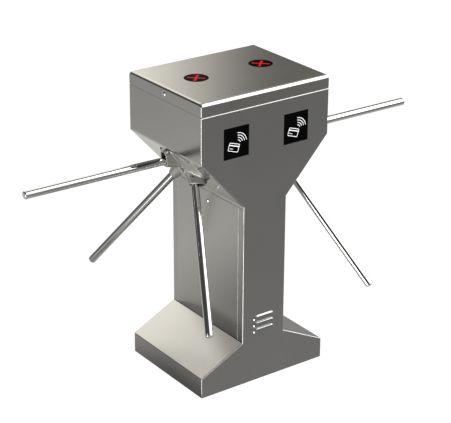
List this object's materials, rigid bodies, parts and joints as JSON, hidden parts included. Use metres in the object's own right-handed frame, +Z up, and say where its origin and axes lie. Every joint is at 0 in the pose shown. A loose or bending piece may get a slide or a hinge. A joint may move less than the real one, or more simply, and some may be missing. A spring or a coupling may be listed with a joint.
{
  "type": "double tripod turnstile",
  "caption": "Waisted sheet-steel pedestal with a turning three-armed rotor in each slanted side of its head, a lift-off lid, side doors and card readers on the front.",
  "frame": {"origin": "centre of the underside of the whole part's box, on the floor", "axes": "+X across the front along the two barrier arms, +Y from the front to the rear, +Z up"},
  "size_m": [1.4502, 0.7174, 0.98],
  "materials": {
    "base_steel": "matt",
    "rubber": "matt",
    "frame_paint": "satin",
    "front_steel": "brushed upright",
    "side_steel": "brushed upright",
    "lid_steel": "brushed front to back",
    "screw_steel": "bright",
    "indicator_lens": "gloss, red cross",
    "circuit_board": "satin",
    "lock_chrome": "polished",
    "lock_zinc": "satin",
    "reader_glass": "gloss, white sign",
    "black_plastic": "matt",
    "supply_case": "satin",
    "hub_steel": "satin cast",
    "arm_chrome": "polished",
    "machined_steel": "turned",
    "cam_steel": "ground",
    "chassis_zinc": "zinc",
    "cast_housing": "satin",
    "solenoid": "satin"
  },
  "bodies": {
    "cabinet": {"base_plate": "base_steel", "cable_grommet": "rubber", "frame": "frame_paint", "front_panel": "front_steel", "rear_panel": "front_steel", "left_head_shell": "side_steel", "right_head_shell": "side_steel", "left_base_cover": "side_steel", "right_base_cover": "side_steel", "panel_screws": "screw_steel", "reader_windows": "reader_glass", "reader_modules": "black_plastic", "controller_board": "circuit_board", "power_supply": "supply_case", "left_chassis": "chassis_zinc", "right_chassis": "chassis_zinc", "left_bearing_housing": "cast_housing", "right_bearing_housing": "cast_housing", "left_bearings": "machined_steel", "right_bearings": "machined_steel", "left_solenoids": "solenoid", "right_solenoids": "solenoid", "left_detent_spring": "machined_steel", "right_detent_spring": "machined_steel"},
    "lid": {"lid": "lid_steel", "indicator_lenses": "indicator_lens", "indicator_boards": "circuit_board", "lid_lock_barrels": "lock_chrome"},
    "left_lid_cam": {"left_lid_lock_cam": "lock_zinc"},
    "right_lid_cam": {"right_lid_lock_cam": "lock_zinc"},
    "left_door": {"left_door": "side_steel", "left_door_lock_barrel": "lock_chrome"},
    "right_door": {"right_door": "side_steel", "right_door_lock_barrel": "lock_chrome"},
    "left_door_cam": {"left_door_lock_cam": "lock_zinc"},
    "right_door_cam": {"right_door_lock_cam": "lock_zinc"},
    "left_rotor": {"left_hub": "hub_steel", "left_arm_1": "arm_chrome", "left_arm_2": "arm_chrome", "left_arm_3": "arm_chrome", "left_arm_caps": "arm_chrome", "left_arm_screws": "screw_steel", "left_shaft": "machined_steel", "left_index_cam": "cam_steel"},
    "left_bolt_front": {"left_lock_bolt_front": "machined_steel"},
    "left_bolt_rear": {"left_lock_bolt_rear": "machined_steel"},
    "left_detent": {"left_detent_lever": "cam_steel"},
    "right_rotor": {"right_hub": "hub_steel", "right_arm_1": "arm_chrome", "right_arm_2": "arm_chrome", "right_arm_3": "arm_chrome", "right_arm_caps": "arm_chrome", "right_arm_screws": "screw_steel", "right_shaft": "machined_steel", "right_index_cam": "cam_steel"},
    "right_bolt_front": {"right_lock_bolt_front": "machined_steel"},
    "right_bolt_rear": {"right_lock_bolt_rear": "machined_steel"},
    "right_detent": {"right_detent_lever": "cam_steel"}
  },
  "joints": [
    {"name": "lid_lift", "type": "slide", "parent": "cabinet", "child": "lid", "axis": [0, 0, 1], "range_m": [0, 0.12]},
    {"name": "left_lid_lock_turn", "type": "hinge", "parent": "lid", "child": "left_lid_cam", "pos_m": [-0.226, 0, 0.9575], "axis": [1, 0, 0], "range_deg": [0, 90]},
    {"name": "left_door_pull", "type": "slide", "parent": "cabinet", "child": "left_door", "axis": [-1, 0, 0], "range_m": [0, 0.04]},
    {"name": "left_door_lock_turn", "type": "hinge", "parent": "left_door", "child": "left_door_cam", "pos_m": [-0.067, 0, 0.571], "axis": [1, 0, 0], "range_deg": [0, 90]},
    {"name": "left_rotor_turn", "type": "hinge", "parent": "cabinet", "child": "left_rotor", "pos_m": [-0.17122, 0, 0.71151], "axis": [-0.7314, 0, -0.682], "continuous": true},
    {"name": "left_bolt_front_slide", "type": "slide", "parent": "cabinet", "child": "left_bolt_front", "axis": [0.6588, 0.2588, -0.7064], "range_m": [0, 0.012], "stiffness_N_per_m": 150},
    {"name": "left_bolt_rear_slide", "type": "slide", "parent": "cabinet", "child": "left_bolt_rear", "axis": [0.6588, -0.2588, -0.7064], "range_m": [0, 0.012], "stiffness_N_per_m": 150},
    {"name": "left_detent_swing", "type": "hinge", "parent": "cabinet", "child": "left_detent", "pos_m": [-0.05511, 0.064, 0.75416], "axis": [-0.7314, 0, -0.682], "range_deg": [-4, 5], "stiffness_Nm_per_rad": 1.5, "springref_deg": -14.32},
    {"name": "right_lid_lock_turn", "type": "hinge", "parent": "lid", "child": "right_lid_cam", "pos_m": [0.226, 0, 0.9575], "axis": [1, 0, 0], "range_deg": [0, 90]},
    {"name": "right_door_pull", "type": "slide", "parent": "cabinet", "child": "right_door", "axis": [1, 0, 0], "range_m": [0, 0.04]},
    {"name": "right_door_lock_turn", "type": "hinge", "parent": "right_door", "child": "right_door_cam", "pos_m": [0.067, 0, 0.571], "axis": [1, 0, 0], "range_deg": [0, 90]},
    {"name": "right_rotor_turn", "type": "hinge", "parent": "cabinet", "child": "right_rotor", "pos_m": [0.17122, 0, 0.71151], "axis": [0.7314, 0, -0.682], "continuous": true},
    {"name": "right_bolt_front_slide", "type": "slide", "parent": "cabinet", "child": "right_bolt_front", "axis": [-0.6588, 0.2588, -0.7064], "range_m": [0, 0.012], "stiffness_N_per_m": 150},
    {"name": "right_bolt_rear_slide", "type": "slide", "parent": "cabinet", "child": "right_bolt_rear", "axis": [-0.6588, -0.2588, -0.7064], "range_m": [0, 0.012], "stiffness_N_per_m": 150},
    {"name": "right_detent_swing", "type": "hinge", "parent": "cabinet", "child": "right_detent", "pos_m": [0.05511, 0.064, 0.75416], "axis": [-0.7314, 0, 0.682], "range_deg": [-4, 5], "stiffness_Nm_per_rad": 1.5, "springref_deg": -14.32}
  ]
}
